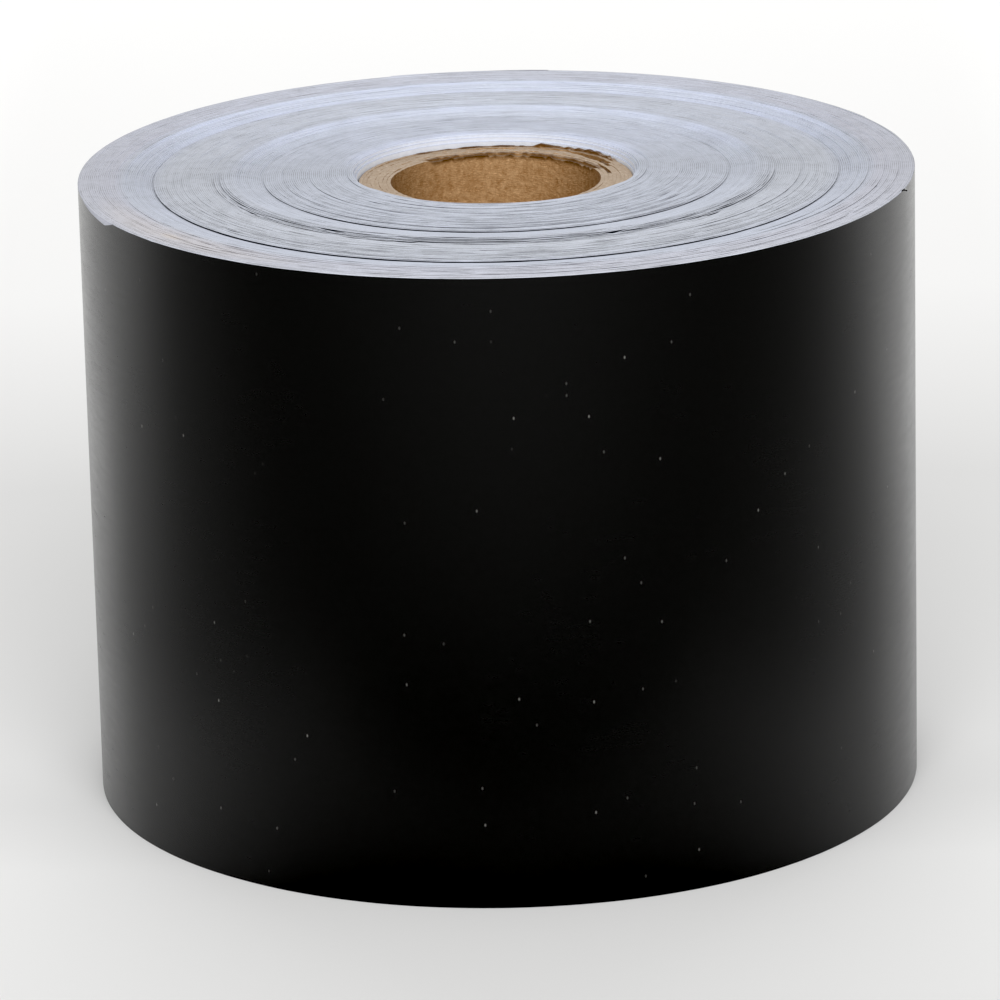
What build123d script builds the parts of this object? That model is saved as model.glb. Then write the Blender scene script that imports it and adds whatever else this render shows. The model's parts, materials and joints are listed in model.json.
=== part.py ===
from build123d import *
import os

# A roll of sign vinyl standing on end: black self-adhesive film on a white paper liner,
# wound face out on a spiral-wound kraft core. +Z is the roll's axis, and the origin is on
# that axis in the plane that the roll stands on. The tail, the loose end of the web, lies
# on the roll's back (+Y) side. Everything is in millimetres.

# Web
web_width = 76.2
liner_thickness = 0.15
film_thickness = 0.09  # the film and the adhesive coat that stays on it
web_pitch = liner_thickness + film_thickness
turns = 140
wrap_turns = 2  # the outermost turns, where liner and film are modelled apart

# Core, flush with the roll at the bottom and a little short at the top
bore_radius = 12.7
ply_thickness = 0.48
ply_count = 8
core_length = 74.8
core_radius = bore_radius + ply_count * ply_thickness

# Double-sided tape that holds the web's lead end on the core
tape_thickness = 0.1
tape_width = 70.0
tape_start = 2.0
tape_end = 58.0

# The wound turns have slid a little on each other, in three groups. Two grooves part the
# groups at the top end, and between them the ends of the turns rise to low crests. The first
# few turns sink towards the core.
first_radius = core_radius + tape_thickness
wrap_radius = first_radius + (turns - wrap_turns) * web_pitch
inner_groove_radius = 28.0
outer_groove_radius = 41.2
inner_crest_radius = 18.5
middle_crest_start = 31.8
middle_crest_end = 34.6
outer_crest_radius = 45.0
inner_groove_depth = 0.6
outer_groove_depth = 0.8
funnel_radius = 17.3
funnel_depth = 1.0

# Tail, as angles about the roll's axis, in degrees
tail_root = 25.0
peel_root = 82.0
tail_tip = 105.0
hinge_gap = 0.1  # along the web, between two bodies
tail_clearance = 0.12  # between the tail and the turn that it lies on
peel_clearance = 0.03  # room of the adhesive under the film that peels

tail_radius = first_radius + turns * web_pitch + tail_clearance


def gap_angle(radius):
    """Degrees of arc that the hinge gap takes at a radius."""
    return hinge_gap / radius * 57.2958


def wound_group(profile):
    """A ring of wound turns, whose top end follows (radius, depth) points."""
    top = [(radius, web_width - depth) for radius, depth in profile]
    with BuildPart() as group:
        with BuildSketch(Plane.XZ):
            with BuildLine():
                Polyline((top[0][0], 0), *top, (top[-1][0], 0), close=True)
            make_face()
        revolve(axis=Axis.Z)
    return group.part


def spiral_arcs(offset):
    """One face of the outer wraps, as tangent arcs: half turns about two centres.

    The back halves are centred on the axis and the front halves half a pitch beside it,
    so each turn lands exactly on the one below it. The last front half climbs a little
    more, to clear the turn under the tail.
    """
    arcs = []
    for turn in range(wrap_turns):
        radius = wrap_radius + turn * web_pitch + offset
        rise = web_pitch
        if turn == wrap_turns - 1:
            rise = web_pitch + tail_clearance
        left = (-radius, 0)
        arcs.append(((radius, 0), (0, radius), left))
        arcs.append((left, (rise / 2, -radius - rise / 2), (radius + rise, 0)))
    end_radius = tail_radius + offset
    end_angle = tail_root - gap_angle(tail_radius)
    middle = Vector(end_radius, 0).rotate(Axis.Z, end_angle / 2)
    end = Vector(end_radius, 0).rotate(Axis.Z, end_angle)
    arcs.append(((end_radius, 0), (middle.X, middle.Y), (end.X, end.Y)))
    return arcs


def outer_wrap(inner, outer):
    """A layer of the outer wraps, between two offsets from the web's inner face."""
    inner_arcs = spiral_arcs(inner)
    outer_arcs = spiral_arcs(outer)
    with BuildPart() as wrap:
        with BuildSketch():
            with BuildLine():
                for arc in inner_arcs + outer_arcs:
                    ThreePointArc(*arc)
                Line(inner_arcs[0][0], outer_arcs[0][0])
                Line(inner_arcs[-1][2], outer_arcs[-1][2])
            make_face()
        extrude(amount=web_width)
    return wrap.part


def curved_strip(inner_radius, thickness, start, end, bottom, height):
    """A strip that lies round the axis from one angle to another."""
    span = end - start
    with BuildPart() as strip:
        with BuildSketch(Plane.XY.offset(bottom)):
            with BuildLine():
                inner = CenterArc((0, 0), inner_radius, start, span)
                outer = CenterArc((0, 0), inner_radius + thickness, start, span)
                Line(inner @ 0, outer @ 0)
                Line(inner @ 1, outer @ 1)
            make_face()
        extrude(amount=height)
    return strip.part


def save(shape, name):
    """Label a finished piece and write its STEP file."""
    shape.label = name
    export_step(shape, f"parts/{name}.step")


os.makedirs("parts", exist_ok=True)

# Core: plies of kraft paper glued on one another
for ply in range(ply_count):
    ply_inner = bore_radius + ply * ply_thickness
    with BuildPart() as core_ply:
        with BuildSketch():
            Circle(ply_inner + ply_thickness)
            Circle(ply_inner, mode=Mode.SUBTRACT)
        extrude(amount=core_length)
    save(core_ply.part, f"core_ply_{ply + 1}")

# Tape under the web's lead end
tape_bottom = (core_length - tape_width) / 2
core_tape = curved_strip(core_radius, tape_thickness, tape_start, tape_end, tape_bottom, tape_width)
save(core_tape, "core_tape")

# The wound turns: film and liner stuck together, in three groups
inner_profile = [
    (first_radius, funnel_depth),
    (funnel_radius, 0),
    (inner_crest_radius, 0),
    (inner_groove_radius, inner_groove_depth),
]
middle_profile = [
    (inner_groove_radius, inner_groove_depth),
    (middle_crest_start, 0),
    (middle_crest_end, 0),
    (outer_groove_radius, outer_groove_depth),
]
outer_profile = [(outer_groove_radius, outer_groove_depth), (outer_crest_radius, 0), (wrap_radius, 0)]
save(wound_group(inner_profile), "inner_turns")
save(wound_group(middle_profile), "middle_turns")
save(wound_group(outer_profile), "outer_turns")

# The outermost turns, with the liner inside and the film outside
save(outer_wrap(0, liner_thickness), "outer_wrap_liner")
save(outer_wrap(liner_thickness, web_pitch), "outer_wrap_film")

# The tail that lifts: its liner, and its film as far as the stretch that peels
film_radius = tail_radius + liner_thickness
tail_liner = curved_strip(tail_radius, liner_thickness, tail_root, tail_tip, 0, web_width)
save(tail_liner, "tail_liner")
tail_film_end = peel_root - gap_angle(film_radius)
tail_film = curved_strip(film_radius, film_thickness, tail_root, tail_film_end, 0, web_width)
save(tail_film, "tail_film")

# The end of the film, which peels off the tail's liner
peel_radius = film_radius + peel_clearance
peel_thickness = film_thickness - peel_clearance
film_end = curved_strip(peel_radius, peel_thickness, peel_root, tail_tip, 0, web_width)
save(film_end, "film_end")
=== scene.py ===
"""A roll of sign vinyl: black film on a white paper liner, wound on a kraft core.

Lengths are in metres, and angles about the roll's axis are in radians unless a name says
degrees. The front, where the camera stands, is at -90 degrees, and the tail lies behind.
"""
import json
import math

import bpy
import numpy as np
from mathutils import Matrix, Vector


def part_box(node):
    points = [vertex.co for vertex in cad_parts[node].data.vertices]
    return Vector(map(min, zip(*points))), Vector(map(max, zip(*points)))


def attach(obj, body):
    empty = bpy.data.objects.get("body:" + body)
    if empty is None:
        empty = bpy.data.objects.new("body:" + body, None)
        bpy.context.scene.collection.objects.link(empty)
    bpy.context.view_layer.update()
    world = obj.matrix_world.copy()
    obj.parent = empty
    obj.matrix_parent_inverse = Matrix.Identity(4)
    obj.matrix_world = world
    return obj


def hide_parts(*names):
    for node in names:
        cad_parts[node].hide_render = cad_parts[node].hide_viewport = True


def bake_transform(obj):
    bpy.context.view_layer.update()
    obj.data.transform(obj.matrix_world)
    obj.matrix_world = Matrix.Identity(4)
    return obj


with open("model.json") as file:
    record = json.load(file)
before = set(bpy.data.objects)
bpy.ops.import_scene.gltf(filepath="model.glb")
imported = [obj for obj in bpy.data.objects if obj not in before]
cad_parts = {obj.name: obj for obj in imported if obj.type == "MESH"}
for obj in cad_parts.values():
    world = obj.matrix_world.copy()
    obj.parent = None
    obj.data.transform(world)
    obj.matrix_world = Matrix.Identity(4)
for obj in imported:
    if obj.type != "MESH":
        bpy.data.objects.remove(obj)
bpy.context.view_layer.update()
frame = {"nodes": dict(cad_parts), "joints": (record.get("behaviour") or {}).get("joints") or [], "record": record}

MM = 0.001
TURN = 2 * math.pi

# ---------------------------------------------------------------- sizes from the frame
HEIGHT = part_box("outer_turns")[1].z
BORE_RADIUS = frame["record"]["mounts"][0]["dims"]["r_mm"] * MM
PLY_NAMES = sorted(name for name in frame["nodes"] if name.startswith("core_ply"))
PLY = (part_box(PLY_NAMES[-1])[1].x - BORE_RADIUS) / len(PLY_NAMES)
CORE_RADIUS = BORE_RADIUS + PLY * len(PLY_NAMES)
CORE_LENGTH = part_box(PLY_NAMES[0])[1].z
JOINTS = {joint["name"]: joint for joint in frame["joints"]}


def azimuth_of(joint):
    """Azimuth of a joint's axis."""
    x, y, _ = JOINTS[joint]["pos_m"]
    return math.atan2(y, x)


TAIL_ROOT = azimuth_of("tail_lift")
PEEL_ROOT = azimuth_of("film_peel")
TAIL_TIP = math.radians(105)

# The web: liner inside, film outside
TAPE = 0.1 * MM
LINER = 0.15 * MM
FILM = 0.09 * MM
PITCH = LINER + FILM
TURNS = 140
TAIL_CLEARANCE = 0.12 * MM
WEB_START = CORE_RADIUS + TAPE
OUTER_RADIUS = WEB_START + TURNS * PITCH


# ---------------------------------------------------------------- small helpers
def smooth(x):
    """Smooth step from 0 to 1."""
    x = np.clip(x, 0, 1)
    return x * x * (3 - 2 * x)


def drop(x, at, depth, run):
    """A sharp drop at one place that rises back over a run."""
    past = (x - at) / MM
    return depth * np.clip(past / 0.08, 0, 1) * np.clip(1 - past / run, 0, 1)


def between(azimuth, first, last, fade=12):
    """1 between two azimuths in degrees, fading out over some degrees on either side."""
    middle, half = math.radians((first + last) / 2), math.radians((last - first) / 2)
    away = np.abs(np.angle(np.exp(1j * (azimuth - middle))))
    return smooth((half + math.radians(fade) - away) / math.radians(fade))


def wave_noise(position, spacing, seed):
    """Smooth random values along a line, one knot at each spacing."""
    knots = np.random.default_rng(seed).standard_normal(int(position.max() / spacing) + 4)
    at = position / spacing
    low = np.floor(at).astype(int)
    part = smooth(at - low)
    return knots[low] * (1 - part) + knots[low + 1] * part


def disc_noise(x, y, size, seed):
    """Smooth random values over the plane, about one feature at each size."""
    source = np.random.default_rng(seed)
    total = np.zeros_like(x)
    for _ in range(24):
        angle = source.uniform(0, TURN)
        wave = source.uniform(0.7, 1.6) * TURN / size
        total += np.sin((x * math.cos(angle) + y * math.sin(angle)) * wave + source.uniform(0, TURN))
    return total / math.sqrt(12)


def mesh_object(name, points, faces, materials, face_material=None, crease=40):
    """A new mesh object, smooth except at edges sharper than crease degrees."""
    mesh = bpy.data.meshes.new(name)
    faces = np.asarray(faces, np.int32)
    corners = faces.shape[1]
    mesh.vertices.add(len(points))
    mesh.vertices.foreach_set("co", np.asarray(points, np.float32).ravel())
    mesh.loops.add(faces.size)
    mesh.loops.foreach_set("vertex_index", faces.ravel())
    mesh.polygons.add(len(faces))
    mesh.polygons.foreach_set("loop_start", np.arange(0, faces.size, corners, dtype=np.int32))
    for material in materials:
        mesh.materials.append(material)
    if face_material is not None:
        mesh.polygons.foreach_set("material_index", np.asarray(face_material, np.int32))
    mesh.update(calc_edges=True)
    mesh.validate()
    mesh.polygons.foreach_set("use_smooth", np.ones(len(mesh.polygons), bool))
    mesh.set_sharp_from_angle(angle=math.radians(crease))
    obj = bpy.data.objects.new(name, mesh)
    bpy.context.scene.collection.objects.link(obj)
    return obj


def ribbon(name, sections, materials, kinds):
    """A closed solid through a row of closed sections.

    sections has the shape (number of sections, points in a section, 3), and kinds gives the
    material of each side of a section, from its point to the next one.
    """
    count, corners, _ = sections.shape
    start = np.arange(count - 1)[:, None] * corners
    near = start + np.arange(corners)[None, :]
    far = start + (np.arange(corners)[None, :] + 1) % corners
    quads = np.stack([near, far, far + corners, near + corners], -1).reshape(-1, 4)
    face_material = np.tile(np.asarray(kinds), count - 1)
    half = corners // 2
    caps = []
    for base, order in ((0, 1), ((count - 1) * corners, -1)):
        for k in range(half - 1):
            cap = [base + k, base + corners - 1 - k, base + corners - 2 - k, base + k + 1]
            caps.append(cap[::order])
    quads = np.concatenate([quads, np.asarray(caps)])
    face_material = np.concatenate([face_material, np.zeros(len(caps), int)])
    return mesh_object(name, sections.reshape(-1, 3), quads, materials, face_material)


# ---------------------------------------------------------------- materials
class Nodes:
    """Short names for building one material's node tree."""

    def __init__(self, name):
        self.material = bpy.data.materials.new(name)
        self.material.use_nodes = True
        self.tree = self.material.node_tree
        self.shader = self.tree.nodes["Principled BSDF"]
        self.place = self.add("ShaderNodeTexCoord").outputs["Object"]

    def add(self, kind, **values):
        node = self.tree.nodes.new(kind)
        for key, value in values.items():
            if key in node.inputs:
                node.inputs[key].default_value = value
            else:
                setattr(node, key, value)
        return node

    def link(self, source, target):
        self.tree.links.new(source, target)

    def scaled(self, x, y, z):
        """Object coordinates, stretched."""
        mapping = self.add("ShaderNodeMapping")
        mapping.inputs["Scale"].default_value = (x, y, z)
        self.link(self.place, mapping.inputs["Vector"])
        return mapping.outputs["Vector"]

    def polar(self):
        """Azimuth, radius and height about the roll's axis."""
        parts = self.add("ShaderNodeSeparateXYZ")
        self.link(self.place, parts.inputs["Vector"])
        x, y, z = (parts.outputs[key] for key in "XYZ")
        squares = self.math("ADD", self.math("MULTIPLY", x, x), self.math("MULTIPLY", y, y))
        radius = self.math("SQRT", squares)
        return self.math("ARCTAN2", y, x), radius, z

    def noise(self, vector, scale, detail=3.0, roughness=0.5):
        node = self.add("ShaderNodeTexNoise")
        node.inputs["Scale"].default_value = scale
        node.inputs["Detail"].default_value = detail
        node.inputs["Roughness"].default_value = roughness
        self.link(vector, node.inputs["Vector"])
        return node.outputs["Fac"]

    def ramp(self, value, *stops):
        """stops are (place, colour or grey)."""
        node = self.add("ShaderNodeValToRGB")
        elements = node.color_ramp.elements
        while len(elements) < len(stops):
            elements.new(0.5)
        for element, (place, colour) in zip(elements, stops):
            element.position = place
            grey = (colour, colour, colour) if isinstance(colour, (int, float)) else colour
            element.color = (*grey, 1)
        self.link(value, node.inputs["Fac"])
        return node.outputs["Color"]

    def math(self, operation, a, b=0):
        node = self.add("ShaderNodeMath", operation=operation)
        for socket, value in zip(node.inputs, (a, b)):
            if isinstance(value, (int, float)):
                socket.default_value = value
            else:
                self.link(value, socket)
        return node.outputs["Value"]

    def mix(self, factor, a, b, blend="MIX"):
        node = self.add("ShaderNodeMix", data_type="RGBA", blend_type=blend)
        for socket, value in zip((node.inputs[0], node.inputs[6], node.inputs[7]), (factor, a, b)):
            if isinstance(value, (int, float)):
                socket.default_value = value
            elif isinstance(value, tuple):
                socket.default_value = (*value, 1)
            else:
                self.link(value, socket)
        return node.outputs[2]

    def bump(self, height, distance, strength=1.0):
        node = self.add("ShaderNodeBump")
        node.inputs["Distance"].default_value = distance
        node.inputs["Strength"].default_value = strength
        self.link(height, node.inputs["Height"])
        self.link(node.outputs["Normal"], self.shader.inputs["Normal"])

    def set(self, **values):
        for key, value in values.items():
            socket = self.shader.inputs[key.replace("_", " ")]
            if isinstance(value, (int, float)):
                socket.default_value = value
            elif isinstance(value, tuple):
                socket.default_value = (*value, 1)
            else:
                self.link(value, socket)
        return self.material


def film_material():
    """Black calendered vinyl: semi-gloss, with fine orange peel, faint scuffs and specks of dust."""
    n = Nodes("black_film")
    azimuth, _, height = n.polar()
    wide = n.noise(n.place, 45, 2)
    scuffs = n.noise(n.scaled(260, 260, 1500), 1.0, 4, 0.6)
    roughness = n.ramp(n.math("ADD", n.math("MULTIPLY", wide, 0.5), n.math("MULTIPLY", scuffs, 0.5)),
                       (0.3, 0.2), (0.7, 0.29))
    unrolled = n.add("ShaderNodeCombineXYZ")
    n.link(n.math("MULTIPLY", azimuth, OUTER_RADIUS), unrolled.inputs["X"])
    n.link(n.math("MULTIPLY", height, 0.6), unrolled.inputs["Y"])
    colour = (0.0025, 0.0025, 0.0025)
    for spacing, share, shade in ((4.3 * MM, 0.15, 0.13), (2.1 * MM, 0.05, 0.05)):
        cells = n.add("ShaderNodeTexVoronoi", feature="F1", voronoi_dimensions="2D")
        cells.inputs["Scale"].default_value = 1 / spacing
        n.link(unrolled.outputs["Vector"], cells.inputs["Vector"])
        lot = n.add("ShaderNodeSeparateColor")
        n.link(cells.outputs["Color"], lot.inputs["Color"])
        chosen = n.ramp(lot.outputs["Red"], (1 - share, 0), (1 - 0.9 * share, 0.2), (1.0, 1))
        speck = n.ramp(cells.outputs["Distance"], (0.06 * MM / spacing, 1), (0.14 * MM / spacing, 0))
        colour = n.mix(n.math("MULTIPLY", speck, chosen), colour, (shade, shade, 0.93 * shade))
    peel = n.noise(n.place, 1400, 2)
    n.bump(n.math("ADD", n.math("MULTIPLY", peel, 0.12), n.math("MULTIPLY", wide, 1.0)), 0.00012, 0.25)
    return n.set(Base_Color=colour, Roughness=roughness, IOR=1.5, Specular_IOR_Level=0.5)


def stained(n, colour):
    """The colour with the brownish stain on the outer turns at the front left."""
    stain_azimuth = math.radians(-143)
    stain_radius = 47.6 * MM
    azimuth, radius, _ = n.polar()
    along = n.math("MULTIPLY", n.math("SUBTRACT", azimuth, stain_azimuth), 47.5 * MM)
    across = n.math("SUBTRACT", radius, stain_radius)
    for half_length, half_width, strength in ((22 * MM, 2.9 * MM, 0.25), (2.4 * MM, 0.8 * MM, 0.32)):
        reach = n.math("ADD", n.math("POWER", n.math("DIVIDE", along, half_length), 2),
                       n.math("POWER", n.math("DIVIDE", across, half_width), 2))
        colour = n.mix(n.ramp(reach, (0.0, strength), (1.0, 0)), colour, (0.60, 0.52, 0.42))
    return colour


def painted_back_light(n, colour):
    """The colour with brighter, bluer bands at the back: painted light where the steps between turns face the
    front and the key light.
    """
    azimuth, radius, _ = n.polar()
    # Painted light: the bands brighten only the back half of the top face.
    behind = n.ramp(n.math("SINE", azimuth), (0.1, 0), (0.6, 1))
    bands = [(0, 1), (18, 1), (19.5, 0.3), (29.6, 0.3), (30.6, 0.8), (31.7, 1), (32.2, 0.3), (41.3, 0.3),
             (41.5, 1), (42.0, 1), (42.4, 0.6), (43.9, 0.6), (44.2, 1.2), (44.7, 1.2), (44.9, 0.2), (50, 0.2)]
    factor = n.ramp(n.math("DIVIDE", radius, 50 * MM), *[(at / 50, share) for at, share in bands])
    patchy = n.ramp(n.noise(n.place, 240, 3), (0.3, 0.55), (0.65, 1))
    factor = n.math("MULTIPLY", n.math("MULTIPLY", behind, patchy), factor)
    return n.mix(factor, colour, (0.60, 0.64, 0.79))


def wear_and_painted_light(n, colour):
    """The colour of a slit edge: brighter bands at the back that are painted light, a stain, faint rings that
    paint the light and shade of fine steps between turns, and a tint that changes outwards and around the roll.
    The tint around the roll is painted shade, darker at the sides, where less light falls."""
    azimuth, radius, _ = n.polar()
    tints = [(17, (0.97, 0.98, 1.0)), (31, (0.97, 0.98, 1.0)), (34.5, (0.99, 0.99, 0.98)),
             (40, (0.99, 0.99, 0.98)), (42, (0.96, 0.97, 1.0)), (44.8, (0.97, 0.98, 1.0)),
             (46, (1.0, 0.97, 0.98)), (50, (1.0, 0.975, 0.97))]
    outwards = n.ramp(n.math("DIVIDE", radius, 50 * MM), *[(at / 50, shade) for at, shade in tints])
    side_to_side = n.math("ADD", n.math("MULTIPLY", n.math("SINE", azimuth), 0.5), 0.5)
    # Painted shade: darker at the sides, by 12 per cent, and at the back, by 9 per cent, than at the front.
    around = n.ramp(side_to_side, (0.0, 1.0), (0.3, 0.985), (0.5, 0.88), (0.7, 0.91), (1.0, 0.91))
    # Painted light and shade: faint light and dark rings by radius, for the shading of the fine steps between
    # turns.
    turns = n.add("ShaderNodeCombineXYZ")
    n.link(n.math("DIVIDE", radius, 0.55 * MM), turns.inputs["X"])
    rings = n.ramp(n.noise(turns.outputs["Vector"], 1.0, 2, 0.6), (0.36, 0.9), (0.5, 0.97), (0.66, 1.0))
    colour = n.mix(1.0, stained(n, painted_back_light(n, colour)), outwards, "MULTIPLY")
    return n.mix(1.0, n.mix(1.0, colour, around, "MULTIPLY"), rings, "MULTIPLY")


def film_edge_material():
    """The slit edge of the film: burnished grey by the knife, with darker stretches."""
    n = Nodes("film_edge")
    edge_patches = n.noise(n.place, 520, 3, 0.7)
    # Darker and lighter in patches of about 2 mm.
    colour = n.ramp(edge_patches, (0.34, (0.23, 0.24, 0.27)), (0.58, (0.42, 0.44, 0.50)))
    return n.set(Base_Color=wear_and_painted_light(n, colour), Roughness=0.6)


def liner_material(name, tone, edge=False):
    """Paper liner: bluish white with fibre mottle and slight stains."""
    n = Nodes(name)
    fibres = n.noise(n.place, 1800, 4, 0.65)
    blotches = n.noise(n.place, 130, 3)
    low = tuple(0.88 * c for c in tone)
    colour = n.mix(n.ramp(fibres, (0.3, 0), (0.7, 1)), low, tone)
    colour = n.mix(n.ramp(blotches, (0.42, 0.35), (0.6, 0)), colour, tuple(0.84 * c for c in tone))
    if edge:
        colour = wear_and_painted_light(n, colour)
    n.bump(fibres, 0.00008, 0.5)
    return n.set(Base_Color=colour, Roughness=0.75)


def kraft_material(name, light, dark, contrast, shade):
    """Kraft board: fine speckle of light and dark fibres, dark ripped stretches where the ply's attribute for them
    is 1, partly painted shadow in their gaps, and painted shade that darkens the bore towards its sides by up to
    the share given as shade.
    """
    n = Nodes(name)
    speckle = n.noise(n.scaled(1, 1, 0.8), 1500, 5, 0.75)
    fibres = n.noise(n.scaled(1, 1, 2.5), 2300, 3, 0.6)
    wide = n.noise(n.place, 210, 2)
    colour = n.mix(n.ramp(speckle, (0.5 - contrast, 0), (0.5 + contrast, 1)), dark, light)
    pale = tuple(min(1, c * 1.45) for c in light)
    colour = n.mix(n.ramp(fibres, (0.58, 0), (0.7, 0.6)), colour, pale)
    colour = n.mix(n.ramp(wide, (0.36, 0.3), (0.6, 0)), colour, dark)
    # Partly painted shadow: ripped stretches turn dark brown, for the board's ripped fibres and the shade in the
    # gaps under them.
    tear_and_painted_shadow = n.add("ShaderNodeAttribute", attribute_name="tear_and_painted_shadow")
    colour = n.mix(tear_and_painted_shadow.outputs["Fac"], colour, (0.10, 0.045, 0.015))
    # Painted shade: the bore darker towards its sides, left and right, by up to the share given as shade.
    azimuth, _, _ = n.polar()
    aside = n.math("ABSOLUTE", n.math("COSINE", azimuth))
    colour = n.mix(n.ramp(aside, (0.5, 0), (1.0, shade)), colour, tuple(0.5 * c for c in dark))
    n.bump(n.math("ADD", speckle, fibres), 0.0002, 0.6)
    return n.set(Base_Color=colour, Roughness=0.9)


film = film_material()
film_edge = film_edge_material()
# The face's tone is brighter than the paper: painted light for the liner's upright faces, which the lamps light
# less than its top edges.
liner_face = liner_material("liner_face", (0.86, 0.90, 0.99))
liner_edge = liner_material("liner_edge", (0.54, 0.568, 0.645), edge=True)
# The bore gets painted shade at its sides (0.6); the end faces get none.
kraft = kraft_material("kraft_bore", (0.62, 0.40, 0.22), (0.36, 0.20, 0.09), 0.16, 0.6)
kraft_end = kraft_material("kraft_end", (0.46, 0.37, 0.29), (0.35, 0.26, 0.18), 0.2, 0.0)


# ---------------------------------------------------------------- the wound web
# Fine steps between neighbouring turns: radius, fall and run in mm, first and last azimuth in degrees
FINE_STEPS = [
    (17.9, 0.08, 0.5, 160, 200), (18.2, 0.08, 0.5, -20, 20), (22.3, 0.07, 0.7, 130, 240),
    (26.4, 0.06, 1.0, -140, -30), (30.6, 0.08, 0.6, 140, 225), (33.2, 0.06, 0.5, 140, 220),
    (33.6, 0.06, 0.5, -50, 40), (36.6, 0.07, 0.7, -50, 30), (42.9, 0.12, 0.5, 130, 230),
    (43.5, 0.12, 0.6, -40, 70), (44.1, 0.10, 0.6, 120, 210), (44.9, 0.09, 0.6, -40, 60),
    (45.2, 0.08, 0.6, 140, 215), (46.3, 0.05, 0.9, 110, 250), (46.7, 0.07, 0.6, -50, 50),
    (47.5, 0.04, 0.7, 150, 225), (48.5, 0.06, 1.0, -85, 20),
]


def relief(radius, azimuth):
    """How far the turns' top ends lie below the web's edge plane: terraces, a funnel at the back
    of the core, two grooves that run all the way round, and fine steps on some sides."""
    points = [
        (16.6, 0.0), (18.6, 0.0), (22.0, 0.12), (26.2, 0.34), (27.9, 0.46), (28.1, 0.50), (30.2, 0.30),
        (30.5, 0.20), (31.8, 0.0), (32.6, 0.0), (34.2, 0.34), (35.4, 0.26), (37.5, 0.28), (41.1, 0.5),
        (42.6, 0.4), (42.8, 0.3), (44.7, 0.04), (46.2, 0.0), (50.6, 0.0),
    ]
    depth = np.interp(radius / MM, [point[0] for point in points], [point[1] for point in points])
    depth += np.interp(radius / MM, [16.6, 16.85, 17.25], [1.1, 0.5, 0]) * between(azimuth, -10, 190, 25)
    depth += drop(radius, 28.0 * MM, 0.11, 1.6)
    depth += drop(radius, 41.15 * MM, 0.2, 1.2)
    for at, fall, run, first, last in FINE_STEPS:
        depth += drop(radius, at * MM, fall, run) * between(azimuth, first, last)
    return depth * MM


def path(first_turn, last_turn, step):
    """Unrolled angle, radius of the web's inner face and length along it, from turn to turn."""
    angle = [first_turn * TURN]
    while angle[-1] < last_turn * TURN:
        radius = WEB_START + PITCH * angle[-1] / TURN
        angle.append(angle[-1] + step / radius)
    angle[-1] = last_turn * TURN
    angle = np.asarray(angle)
    radius = WEB_START + PITCH * angle / TURN
    end = TURNS * TURN + TAIL_ROOT
    radius = radius + TAIL_CLEARANCE * smooth((angle - (end - math.radians(22))) / math.radians(20))
    length = np.concatenate([[0], np.cumsum(np.diff(angle) * 0.5 * (radius[1:] + radius[:-1]))])
    return angle, radius, length


def edge_height(angle, radius, length, seed):
    """Height of the web's top edge along its path: terraces, scatter from turn to turn and nicks."""
    x, y = radius * np.cos(angle), radius * np.sin(angle)
    mottled = np.exp(-((radius / MM - 33.5) / 0.8) ** 2) * between(angle, -180, 0)
    loose = 0.8 + 0.35 * np.clip(disc_noise(x, y, 9 * MM, seed + 5), -1, 2) + 2.1 * mottled
    z = HEIGHT - relief(radius, angle)
    z += 0.009 * MM * wave_noise(length, 150 * MM, seed)
    z += 0.004 * MM * wave_noise(length, 24 * MM, seed + 1)
    z += 0.0095 * MM * loose * wave_noise(length, 2.6 * MM, seed + 2)
    nick = wave_noise(length, 2.1 * MM, seed + 3)
    z -= 0.05 * MM * loose * np.clip(nick - 1.5, 0, 1.5)
    return np.minimum(z, HEIGHT + 0.03 * MM)


def strip_sections(angle, inner, outer, low, high, rows=2, swell=None):
    """Sections of a strip that stands on its edge: up its inner face and down its outer one."""
    share = np.linspace(0, 1, rows)
    up = low[:, None] + (high - low)[:, None] * share
    heights = np.concatenate([up, up[:, ::-1]], 1)
    radii = np.concatenate([np.repeat(inner[:, None], rows, 1), np.repeat(outer[:, None], rows, 1)], 1)
    if swell is not None:
        radii = radii + swell(angle[:, None], heights)
    cos, sin = np.cos(angle)[:, None], np.sin(angle)[:, None]
    return np.stack([radii * cos, radii * sin, heights], -1)


def kinds_of(rows):
    """Material of each side of a strip's section: faces 0, slit edges 1."""
    return [0] * (rows - 1) + [1] + [0] * (rows - 1) + [1]


def bottom_of(length, seed):
    """Height of the web's bottom edge, which rises slightly off the floor in places."""
    return 0.04 * MM * np.abs(wave_noise(length, 20 * MM, seed))


def wound_layer(name, first, last, start, thickness, materials, seed, step, recess, rows=2, swell=None):
    """One layer of the wound web between two turns."""
    angle, radius, length = path(first, last, step)
    high = edge_height(angle, radius, length, 40) - recess
    high += 0.006 * MM * wave_noise(length, 3 * MM, seed)
    low = bottom_of(length, seed + 1)
    sections = strip_sections(angle, radius + start, radius + start + thickness, low, high, rows, swell)
    return ribbon(name, sections, materials, kinds_of(rows))


END_TURN = TURNS + TAIL_ROOT / TURN
WEB_STEP = 1.35 * MM  # between sections along the web
OUTER_STEP = 1.0 * MM  # finer where the film's face shows
FILM_RECESS = 0.006 * MM  # of the film's edge below the liner's
OUTER_FILM_RECESS = 0.04 * MM
RINGS = ("inner_turns", "middle_turns", "outer_turns")


def waviness(angle, height):
    """Slight waves that the film's outer face takes from the turns below it."""
    around = 0.010 * np.sin(9 * angle + 1.0) + 0.008 * np.sin(23 * angle + 2.0 * height / HEIGHT)
    along = 0.008 * np.sin(height / (9 * MM) + 3 * angle)
    return (around + along) * MM


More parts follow.
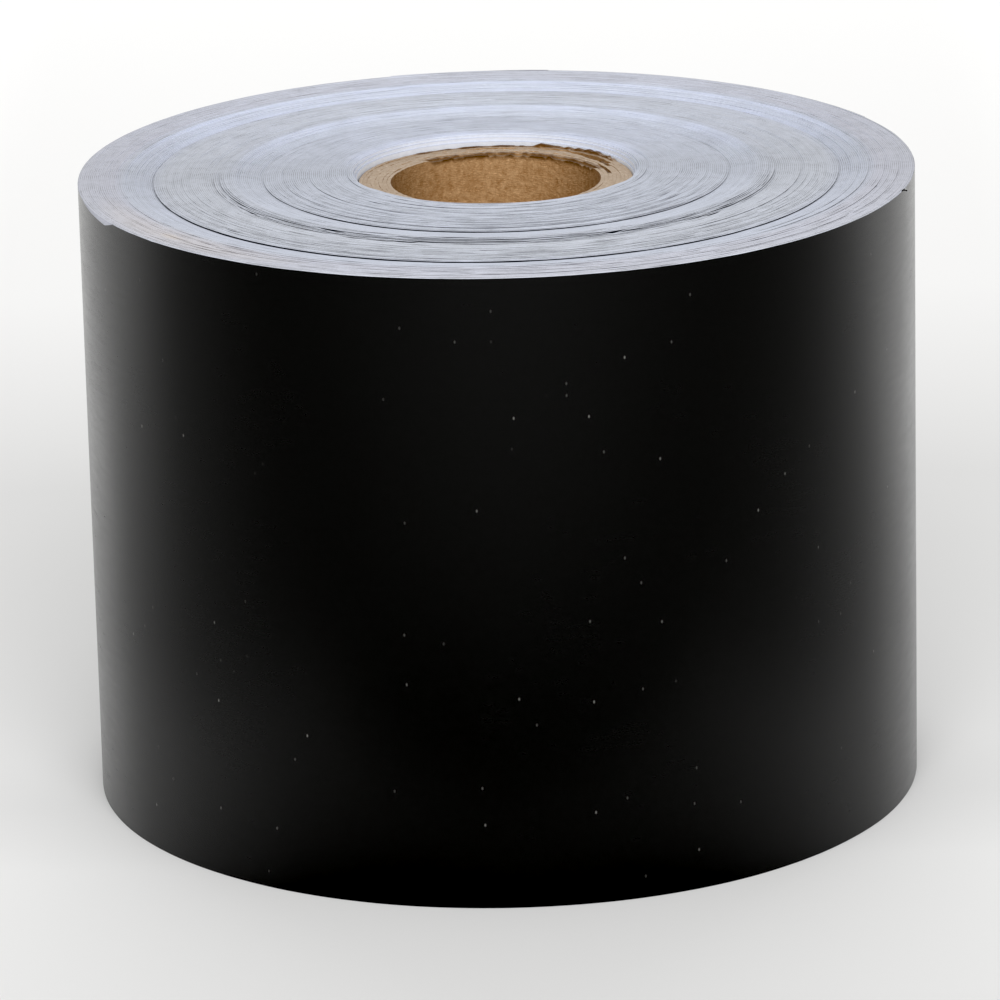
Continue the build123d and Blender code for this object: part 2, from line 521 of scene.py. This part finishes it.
def wound_web():
    """The liner and the film as two continuous webs, from the core to the tail's root."""
    liner = wound_layer("wound_liner", 0, END_TURN, 0, LINER, [liner_face, liner_edge], 60, WEB_STEP, 0)
    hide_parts(*RINGS, "outer_wrap_liner")
    inner = wound_layer("wound_film", 0, END_TURN - 1, LINER, FILM, [film, film_edge], 70, WEB_STEP,
                        FILM_RECESS)
    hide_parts(*RINGS)
    outer = wound_layer("outer_film", END_TURN - 1, END_TURN, LINER, FILM, [film, film_edge], 80, OUTER_STEP,
                        OUTER_FILM_RECESS, 20, waviness)
    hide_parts("outer_wrap_film")
    for piece in (liner, inner, outer):
        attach(piece, "roll")


wound_web()


# ---------------------------------------------------------------- the tail
def tail_layer(name, first, last, inner_offset, thickness, materials, rows=8):
    """A layer of the tail between two azimuths."""
    count = max(int((last - first) / math.radians(0.8)), 12)
    angle = np.linspace(first, last, count)
    radius = np.full_like(angle, OUTER_RADIUS + TAIL_CLEARANCE)
    length = radius * (angle - first)
    high = HEIGHT - 0.02 * MM + 0.02 * MM * wave_noise(length, 12 * MM, 90)
    low = bottom_of(length, 91)
    inner = radius + inner_offset
    sections = strip_sections(angle, inner, inner + thickness, low, high, rows)
    return ribbon(name, sections, materials, kinds_of(rows))


def tail():
    """Liner and film of the tail from its root, and the film's end from the peel joint's azimuth, as strips that
    lie against the roll.
    """
    liner = tail_layer("tail_liner_strip", TAIL_ROOT, TAIL_TIP, 0, LINER, [liner_face, liner_edge])
    film_part = tail_layer("tail_film_strip", TAIL_ROOT, PEEL_ROOT, LINER, FILM, [film, film_edge])
    end = tail_layer("film_end_strip", PEEL_ROOT, TAIL_TIP, LINER, FILM, [film, film_edge])
    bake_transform(liner)
    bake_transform(film_part)
    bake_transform(end)
    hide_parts("tail_liner")
    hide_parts("tail_film")
    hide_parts("film_end")


tail()


# ---------------------------------------------------------------- wear at the rim
def rim_radius(azimuth):
    """Radius of the outer turn's outer face, for an azimuth from 0 to a whole turn."""
    return OUTER_RADIUS + PITCH * azimuth / TURN


def edge_burr():
    """A sliver of the liner's slit edge that hangs over the film at the front left."""
    first_azimuth, length = math.radians(192.5), math.radians(13.9)
    peak = 0.88  # share of the length at which it is widest
    stand_out, droop = 0.34 * MM, 0.36 * MM
    share = np.linspace(0, 1, 33)
    azimuth = first_azimuth + length * share
    size = np.where(share < peak, share / peak, (1 - share) / (1 - peak)) + 0.02
    rim = rim_radius(azimuth)
    root, tip = rim - 0.16 * MM, rim + stand_out * size
    over, under = np.full_like(rim, HEIGHT + 0.02 * MM), np.full_like(rim, HEIGHT - 0.02 * MM)
    low = HEIGHT - droop * size
    radii = np.stack([root, rim + 0.03 * MM, tip, tip, rim + 0.01 * MM, root], -1)
    heights = np.stack([over, over, low, low - 0.08 * MM, under, under], -1)
    cos, sin = np.cos(azimuth)[:, None], np.sin(azimuth)[:, None]
    burr = ribbon("liner_burr", np.stack([radii * cos, radii * sin, heights], -1), [liner_edge], [0] * 6)
    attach(burr, "roll")


def film_whisker():
    """A tiny curl of film that stands out of the rim at the right."""
    share = np.linspace(0, 1, 9)
    azimuth = math.radians(342.5)
    half = 0.26 * MM * np.sqrt(1.02 - share ** 2)
    out = rim_radius(azimuth) + (0.62 * share - 0.05) * MM
    high = HEIGHT - 0.02 * MM + 0.14 * MM * np.sin(3 * share)
    forward = np.array([math.cos(azimuth), math.sin(azimuth), 0])
    side = np.array([-math.sin(azimuth), math.cos(azimuth), 0])
    centre = out[:, None] * forward + high[:, None] * np.array([0, 0, 1])
    sections = []
    for across, up in ((-1, -1), (-1, 1), (1, 1), (1, -1)):
        sections.append(centre + across * half[:, None] * side + up * FILM * np.array([0, 0, 1]))
    whisker = ribbon("film_whisker", np.stack(sections, 1), [film], [0] * 4)
    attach(whisker, "roll")


edge_burr()
film_whisker()


# ---------------------------------------------------------------- the core
# Ripped stretches of each ply's top end: first and last azimuth in degrees, rise in mm, darkness. The darkness is
# partly the ripped board's own colour and partly painted shadow in the gaps.
PLY_TEARS_AND_SHADOW = {
    0: [(24, 126, -0.26, 0.9)],
    1: [(20, 128, -0.04, 0.7)],
    2: [(12, 24, -0.35, 0.8)],
    4: [(26, 40, -0.5, 1.0)],
    5: [(29, 50, -0.3, 0.8), (84, 100, -0.1, 0.5)],
    6: [(34, 66, 0.12, 0.3)],
    7: [(30, 70, 0.32, 0.85), (70, 124, 0.05, 0.9)],
}


def core_ply(index, name):
    """One ply of the core: a tube with a ragged top end, ripped at the back, where the ripped stretches carry
    painted shadow.
    """
    inner = BORE_RADIUS + index * PLY
    count = 360
    angle = np.linspace(0, TURN, count, endpoint=False)
    fine = wave_noise(angle * inner, 0.5 * MM, 200 + index)
    slow = wave_noise(angle * inner, 6 * MM, 230 + index)
    seamless = smooth(np.minimum(angle, TURN - angle) / 0.2)
    top = CORE_LENGTH + seamless * MM * (0.02 * fine + 0.02 * slow)
    # How dark the ripped stretches are painted: partly the board's colour, partly painted shadow.
    tear_and_painted_shadow = np.zeros(count)
    for first, last, rise, darkness in PLY_TEARS_AND_SHADOW.get(index, []):
        part = between(angle, first, last, 5)
        top += part * MM * (rise + 0.25 * abs(rise) * fine)
        tear_and_painted_shadow = np.maximum(tear_and_painted_shadow, part * darkness * np.clip(0.85 + 0.3 * fine, 0, 1))
    share = np.array([0, 0.5, 0.97, 0.992, 0.9975, 1.0])
    rows = len(share)
    up = top[:, None] * share
    heights = np.concatenate([up, up[:, ::-1]], 1)
    radii = np.repeat([[inner] * rows + [inner + PLY * 0.97] * rows], count, 0)
    points = np.stack([radii * np.cos(angle)[:, None], radii * np.sin(angle)[:, None], heights], -1)
    corners = 2 * rows
    at = np.arange(count)[:, None] * corners
    after = np.roll(np.arange(count), -1)[:, None] * corners
    this = np.arange(corners)[None, :]
    following = (this + 1) % corners
    quads = np.stack([at + this, at + following, after + following, after + this], -1).reshape(-1, 4)
    kinds = np.tile(np.asarray(kinds_of(rows)), count)
    ply = mesh_object(f"{name}_board", points.reshape(-1, 3), quads, [kraft, kraft_end], kinds)
    at_top = np.concatenate([share, share[::-1]]) > 0.995
    wear_and_painted_light = ply.data.attributes.new("tear_and_painted_shadow", "FLOAT", "POINT")
    wear_and_painted_light.data.foreach_set("value", (tear_and_painted_shadow[:, None] * at_top).ravel().astype(np.float32))
    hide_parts(name)
    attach(ply, "roll")


for ply_index, ply_name in enumerate(PLY_NAMES):
    core_ply(ply_index, ply_name)

tape = frame["nodes"]["core_tape"]
tape.data.materials.clear()
tape.data.materials.append(liner_face)


# ---------------------------------------------------------------- floor, light and camera
# The backdrop's greys from front to back: distance behind the roll's axis in metres, grey. The greys are painted
# light and shade, brightest far behind the roll. The view shows a strip of it, and the film reflects what lies
# beside the strip.
SEEN = [(-0.22, 0.66), (-0.11, 0.66), (-0.08, 0.79), (-0.035, 0.845), (-0.012, 0.76), (0.02, 0.75),
        (0.12, 0.69), (0.22, 0.82), (0.45, 0.88)]
BESIDE = [(-0.22, 0.66), (0.0, 0.6), (0.05, 0.70), (0.12, 0.95), (0.45, 0.95)]


def floor():
    """A pale backdrop that the roll stands on, with light and shade painted into its greys."""
    bpy.ops.mesh.primitive_plane_add(size=8, location=(0, 0, 0))
    plane = bpy.context.object
    plane.name = "floor"
    n = Nodes("backdrop_paper")
    place = n.add("ShaderNodeSeparateXYZ")
    n.link(n.place, place.inputs["Vector"])
    tones = []
    for stops in (SEEN, BESIDE):
        first, last = stops[0][0], stops[-1][0]
        along = n.math("DIVIDE", n.math("SUBTRACT", place.outputs["Y"], first), last - first)
        tones.append(n.ramp(along, *[((at - first) / (last - first), grey) for at, grey in stops]))
    aside = n.ramp(n.math("ABSOLUTE", place.outputs["X"]), (0.08, 0), (0.12, 1))
    n.set(Base_Color=n.mix(aside, *tones), Roughness=0.8)
    plane.data.materials.append(n.material)


def area_light(name, place, target, size, power):
    """A white rectangular light that faces its target."""
    light = bpy.data.lights.new(name, "AREA")
    light.shape = "RECTANGLE"
    light.size, light.size_y = size
    light.energy = power
    obj = bpy.data.objects.new(name, light)
    obj.location = place
    direction = Vector(target) - Vector(place)
    obj.rotation_euler = direction.to_track_quat("-Z", "Y").to_euler()
    bpy.context.scene.collection.objects.link(obj)


def studio():
    """Soft light from all round, a key light in front and above, and a light on the backdrop."""
    world = bpy.data.worlds.new("studio")
    world.use_nodes = True
    world.node_tree.nodes["Background"].inputs["Color"].default_value = (1.0, 0.995, 0.98, 1)
    world.node_tree.nodes["Background"].inputs["Strength"].default_value = 0.585
    bpy.context.scene.world = world
    area_light("key_light", (0.05, -1.1, 0.95), (0, 0, 0.04), (1.0, 0.8), 14.0)
    area_light("back_light", (0, 1.3, 0.75), (0, 0.62, 0), (2.0, 0.6), 10.0)


def camera():
    """The camera's place and direction, in roll radii from the roll's base centre."""
    unit = OUTER_RADIUS + 0.08 * MM  # the roll's mean outside radius
    pitch, yaw, roll = 0.3001, -0.0005, -0.02318
    forward = Vector((math.sin(yaw) * math.cos(pitch), math.cos(yaw) * math.cos(pitch), -math.sin(pitch)))
    right = Vector((math.cos(yaw), -math.sin(yaw), 0))
    up = right.cross(forward)
    turned_right = math.cos(roll) * right + math.sin(roll) * up
    turned_up = math.cos(roll) * up - math.sin(roll) * right
    data = bpy.data.cameras.new("camera")
    data.lens = 235.7
    data.sensor_width = 36
    data.clip_start = 0.01
    obj = bpy.data.objects.new("camera", data)
    matrix = Matrix((turned_right, turned_up, -forward)).transposed().to_4x4()
    matrix.translation = Vector((0, -15.229, 5.394)) * unit
    obj.matrix_world = matrix
    bpy.context.scene.collection.objects.link(obj)
    bpy.context.scene.camera = obj


def colours():
    """Plain display colours, with a black level that deepens the film."""
    black_level = 0.0325
    view = bpy.context.scene.view_settings
    view.view_transform = "Standard"
    view.look = "None"
    view.use_curve_mapping = True
    view.curve_mapping.black_level = (black_level, black_level, black_level)
    view.curve_mapping.update()


floor()
studio()
camera()
colours()
